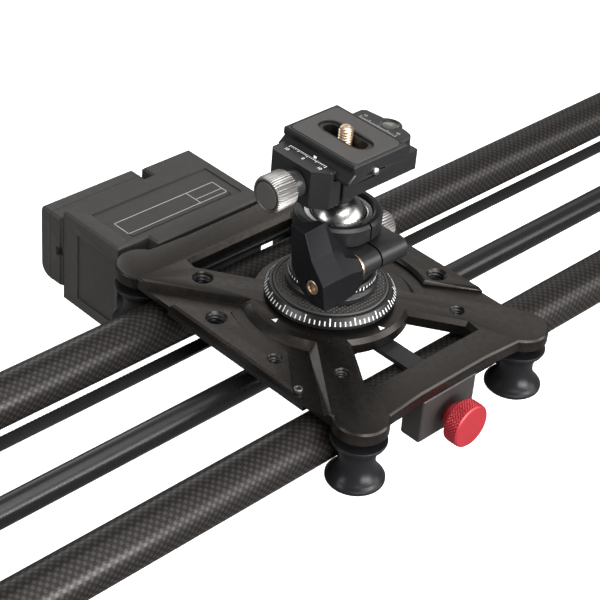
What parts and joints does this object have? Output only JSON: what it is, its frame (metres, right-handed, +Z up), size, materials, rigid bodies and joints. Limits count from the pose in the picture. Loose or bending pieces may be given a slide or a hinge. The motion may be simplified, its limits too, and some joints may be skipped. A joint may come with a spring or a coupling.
{
  "type": "camera slider",
  "caption": "Motorised camera slider: twin carbon rails on cross legs, belt-driven roller carriage with brake knob, graduated turntable and ball head with quick-release plate.",
  "frame": {"origin": "centre of the footprint, on the floor under the feet, with the carriage at mid travel", "axes": "+X along the rails, +Y towards the motor box, +Z up"},
  "size_m": [1, 0.288, 0.1812],
  "materials": {
    "carbon_tube": "twill carbon fibre under clear coat",
    "rod_black": "satin black anodised",
    "plate_anodised": "fine bead-blasted dark anodised",
    "black_metal": "satin black anodised",
    "roller_plastic": "turned black acetal",
    "housing_plastic": "fine matt texture",
    "button_plastic": "smooth",
    "foot_rubber": "matt",
    "belt_rubber": "matt, glass-cord reinforced",
    "grip_rubber": "ribbed",
    "ball_steel": "polished",
    "drive_steel": "turned",
    "silver_metal": "knurled, clear anodised",
    "champagne_metal": "machined",
    "red_metal": "red anodised, knurled",
    "vial": "clear with green fluid"
  },
  "bodies": {
    "base": {"rail_far": "carbon_tube", "rail_near": "carbon_tube", "centre_rod": "rod_black", "end_block_left": "plate_anodised", "end_block_right": "plate_anodised", "leg_left": "black_metal", "leg_right": "black_metal", "belt_run": "belt_rubber", "belt_clamp_left": "black_metal", "belt_clamp_right": "black_metal"},
    "carriage": {"carriage_plate": "plate_anodised", "under_frame": "black_metal", "brake_block": "plate_anodised", "motor_bracket": "black_metal", "motor_housing": "housing_plastic", "drive_bracket": "black_metal", "belt_loop": "belt_rubber", "roller_axle_far_left": "drive_steel", "roller_axle_far_right": "drive_steel", "roller_axle_near_left": "drive_steel", "roller_axle_near_right": "drive_steel"},
    "turntable": {"turntable_ring": "black_metal", "turntable_grip": "grip_rubber", "head_base": "black_metal"},
    "head": {"head_body": "black_metal", "ball_seat_ring": "drive_steel"},
    "ball": {"ball": "ball_steel"},
    "clamp": {"clamp_body": "black_metal", "bubble_level": "vial"},
    "jaw": {"clamp_jaw": "black_metal"},
    "clamp_screw": {"clamp_knob": "silver_metal", "knob_cap": "grip_rubber"},
    "quick_plate": {"qr_plate": "black_metal", "qr_pad": "grip_rubber", "stop_pin": "drive_steel"},
    "camera_screw": {"camera_screw": "champagne_metal"},
    "lever": {"lock_lever": "black_metal", "lever_screw": "champagne_metal"},
    "pan_lock": {"pan_knob": "silver_metal"},
    "brake_shoe": {"brake_pad": "foot_rubber"},
    "brake_screw": {"brake_knob": "red_metal"},
    "pulley": {"drive_pulley": "drive_steel"},
    "idler_a": {"idler_left": "drive_steel"},
    "idler_b": {"idler_right": "drive_steel"},
    "battery": {"battery": "housing_plastic"},
    "latch": {"battery_latch": "button_plastic"},
    "button": {"power_button": "button_plastic"},
    "roller_far_left": {"roller_far_left": "roller_plastic"},
    "foot_far_left": {"foot_far_left": "foot_rubber"},
    "wheel_far_left": {"level_wheel_far_left": "silver_metal"},
    "roller_far_right": {"roller_far_right": "roller_plastic"},
    "foot_far_right": {"foot_far_right": "foot_rubber"},
    "wheel_far_right": {"level_wheel_far_right": "silver_metal"},
    "roller_near_left": {"roller_near_left": "roller_plastic"},
    "foot_near_left": {"foot_near_left": "foot_rubber"},
    "wheel_near_left": {"level_wheel_near_left": "silver_metal"},
    "roller_near_right": {"roller_near_right": "roller_plastic"},
    "foot_near_right": {"foot_near_right": "foot_rubber"},
    "wheel_near_right": {"level_wheel_near_right": "silver_metal"}
  },
  "joints": [
    {"name": "carriage_slide", "type": "slide", "parent": "base", "child": "carriage", "axis": [1, 0, 0], "range_m": [-0.4, 0.4]},
    {"name": "roller_far_left_spin", "type": "hinge", "parent": "carriage", "child": "roller_far_left", "pos_m": [-0.0502, 0.0692, 0.075], "axis": [0, 0, 1], "range_deg": [-2900, 2900]},
    {"name": "foot_far_left_rise", "type": "slide", "parent": "base", "child": "foot_far_left", "axis": [0, 0, 1], "range_m": [0, 0.005]},
    {"name": "wheel_far_left_turn", "type": "hinge", "parent": "base", "child": "wheel_far_left", "pos_m": [-0.486, 0.13, 0.018], "axis": [0, 0, 1], "range_deg": [-1, 1801]},
    {"name": "roller_far_right_spin", "type": "hinge", "parent": "carriage", "child": "roller_far_right", "pos_m": [0.0502, 0.0692, 0.075], "axis": [0, 0, 1], "range_deg": [-2900, 2900]},
    {"name": "foot_far_right_rise", "type": "slide", "parent": "base", "child": "foot_far_right", "axis": [0, 0, 1], "range_m": [0, 0.005]},
    {"name": "wheel_far_right_turn", "type": "hinge", "parent": "base", "child": "wheel_far_right", "pos_m": [0.486, 0.13, 0.018], "axis": [0, 0, 1], "range_deg": [-1, 1801]},
    {"name": "roller_near_left_spin", "type": "hinge", "parent": "carriage", "child": "roller_near_left", "pos_m": [-0.0502, -0.0692, 0.075], "axis": [0, 0, 1], "range_deg": [-2900, 2900]},
    {"name": "foot_near_left_rise", "type": "slide", "parent": "base", "child": "foot_near_left", "axis": [0, 0, 1], "range_m": [0, 0.005]},
    {"name": "wheel_near_left_turn", "type": "hinge", "parent": "base", "child": "wheel_near_left", "pos_m": [-0.486, -0.13, 0.018], "axis": [0, 0, 1], "range_deg": [-1, 1801]},
    {"name": "roller_near_right_spin", "type": "hinge", "parent": "carriage", "child": "roller_near_right", "pos_m": [0.0502, -0.0692, 0.075], "axis": [0, 0, 1], "range_deg": [-2900, 2900]},
    {"name": "foot_near_right_rise", "type": "slide", "parent": "base", "child": "foot_near_right", "axis": [0, 0, 1], "range_m": [0, 0.005]},
    {"name": "wheel_near_right_turn", "type": "hinge", "parent": "base", "child": "wheel_near_right", "pos_m": [0.486, -0.13, 0.018], "axis": [0, 0, 1], "range_deg": [-1, 1801]},
    {"name": "pulley_spin", "type": "hinge", "parent": "carriage", "child": "pulley", "pos_m": [0.008, 0.05, 0.0535], "axis": [0, 1, 0], "range_deg": [-4300, 4300]},
    {"name": "idler_a_spin", "type": "hinge", "parent": "carriage", "child": "idler_a", "pos_m": [-0.0025, 0.0406, 0.0559], "axis": [0, 1, 0], "range_deg": [-5900, 5900]},
    {"name": "idler_b_spin", "type": "hinge", "parent": "carriage", "child": "idler_b", "pos_m": [0.0185, 0.0406, 0.0559], "axis": [0, 1, 0], "range_deg": [-5900, 5900]},
    {"name": "turntable_pan", "type": "hinge", "parent": "carriage", "child": "turntable", "pos_m": [0, 0, 0.099], "axis": [0, 0, 1], "continuous": true},
    {"name": "head_pan", "type": "hinge", "parent": "turntable", "child": "head", "pos_m": [0, 0, 0.111], "axis": [0, 0, 1], "continuous": true},
    {"name": "ball_nod", "type": "hinge", "parent": "head", "child": "ball", "pos_m": [0, 0, 0.1351], "axis": [1, 0, 0], "range_deg": [-30, 4]},
    {"name": "ball_roll", "type": "hinge", "parent": "ball", "child": "clamp", "pos_m": [0, 0, 0.1351], "axis": [0, 1, 0], "range_deg": [-2, 30]},
    {"name": "lever_turn", "type": "hinge", "parent": "head", "child": "lever", "pos_m": [-0.024, -0.022, 0.1266], "axis": [1, 0, 0], "range_deg": [-8, 40]},
    {"name": "pan_lock_turn", "type": "hinge", "parent": "head", "child": "pan_lock", "pos_m": [0.028, 0, 0.1205], "axis": [1, 0, 0], "range_deg": [0, 360]},
    {"name": "jaw_slide", "type": "slide", "parent": "clamp", "child": "jaw", "axis": [1, 0, 0], "range_m": [-0.003, 0]},
    {"name": "clamp_screw_turn", "type": "hinge", "parent": "jaw", "child": "clamp_screw", "pos_m": [-0.038, 0, 0.1639], "axis": [1, 0, 0], "range_deg": [-1081, 1]},
    {"name": "quick_plate_slide", "type": "slide", "parent": "clamp", "child": "quick_plate", "axis": [0, 1, 0], "range_m": [-0.01, 0.01]},
    {"name": "camera_screw_slide", "type": "slide", "parent": "quick_plate", "child": "camera_screw", "axis": [0, 1, 0], "range_m": [-0.008, 0.008]},
    {"name": "brake_slide", "type": "slide", "parent": "carriage", "child": "brake_shoe", "axis": [0, 1, 0], "range_m": [-0.002, 0]},
    {"name": "brake_screw_turn", "type": "hinge", "parent": "brake_shoe", "child": "brake_screw", "pos_m": [0.001, -0.08, 0.075], "axis": [0, 1, 0], "range_deg": [-721, 1]},
    {"name": "battery_slide", "type": "slide", "parent": "carriage", "child": "battery", "axis": [-1, 0, 0], "range_m": [0, 0.06]},
    {"name": "latch_slide", "type": "slide", "parent": "carriage", "child": "latch", "axis": [1, 0, 0], "range_m": [0, 0.003], "stiffness_N_per_m": 200},
    {"name": "button_press", "type": "slide", "parent": "carriage", "child": "button", "axis": [1, 0, 0], "range_m": [-0.001, 0], "stiffness_N_per_m": 400}
  ],
  "couplings": [
    {"joint": "roller_far_left_spin", "follows": "carriage_slide", "rad_per_m": -122},
    {"joint": "wheel_far_left_turn", "follows": "foot_far_left_rise", "rad_per_m": 6283.2},
    {"joint": "roller_far_right_spin", "follows": "carriage_slide", "rad_per_m": -122},
    {"joint": "wheel_far_right_turn", "follows": "foot_far_right_rise", "rad_per_m": 6283.2},
    {"joint": "roller_near_left_spin", "follows": "carriage_slide", "rad_per_m": 122},
    {"joint": "wheel_near_left_turn", "follows": "foot_near_left_rise", "rad_per_m": 6283.2},
    {"joint": "roller_near_right_spin", "follows": "carriage_slide", "rad_per_m": 122},
    {"joint": "wheel_near_right_turn", "follows": "foot_near_right_rise", "rad_per_m": 6283.2},
    {"joint": "pulley_spin", "follows": "carriage_slide", "rad_per_m": 181.8},
    {"joint": "idler_a_spin", "follows": "carriage_slide", "rad_per_m": -250},
    {"joint": "idler_b_spin", "follows": "carriage_slide", "rad_per_m": -250},
    {"joint": "clamp_screw_turn", "follows": "jaw_slide", "rad_per_m": 6283.2},
    {"joint": "brake_screw_turn", "follows": "brake_slide", "rad_per_m": 6283.2}
  ]
}
